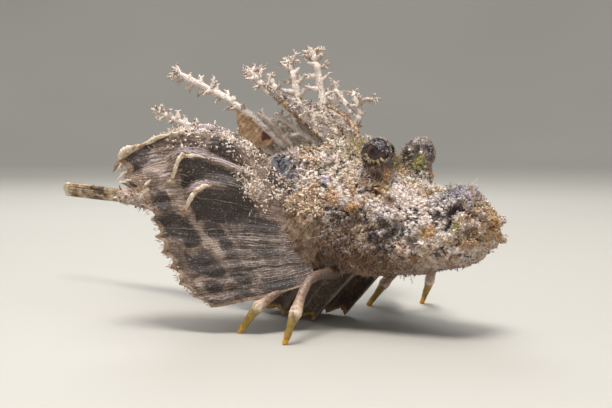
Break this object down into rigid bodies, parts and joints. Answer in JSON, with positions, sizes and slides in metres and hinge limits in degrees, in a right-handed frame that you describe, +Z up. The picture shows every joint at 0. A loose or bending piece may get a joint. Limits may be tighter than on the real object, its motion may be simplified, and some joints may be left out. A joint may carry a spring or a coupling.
{
  "type": "fish figure",
  "caption": "Life-size still figure of a bottom-dwelling stinging fish walking on its free fin rays, with fanned pectoral fins and tasselled back spines.",
  "frame": {"origin": "on the floor, under the middle of the outline seen from above", "axes": "+X along the body towards the snout, +Y to the animal's left, +Z up from the floor it stands on"},
  "size_m": [0.1812, 0.1112, 0.0797],
  "materials": {
    "skin": "matt, encrusted",
    "fin": "matt, ridged",
    "tassel": "matt",
    "ray": "satin",
    "eye": "wet gloss"
  },
  "bodies": {
    "root": {"head": "skin", "lower_jaw": "skin", "eye_right": "eye", "eye_left": "eye", "trunk": "skin", "tail_stalk": "skin", "caudal_fin": "fin", "dorsal_fin_front": "tassel", "dorsal_fin_spines": "tassel", "dorsal_fin_soft": "fin", "anal_fin": "fin", "pectoral_fin_right": "fin", "pectoral_fin_left": "fin", "pelvic_fin_right": "fin", "pelvic_fin_left": "fin", "free_ray_front_right": "ray", "free_ray_rear_right": "ray", "free_ray_front_left": "ray", "free_ray_rear_left": "ray"}
  },
  "joints": []
}
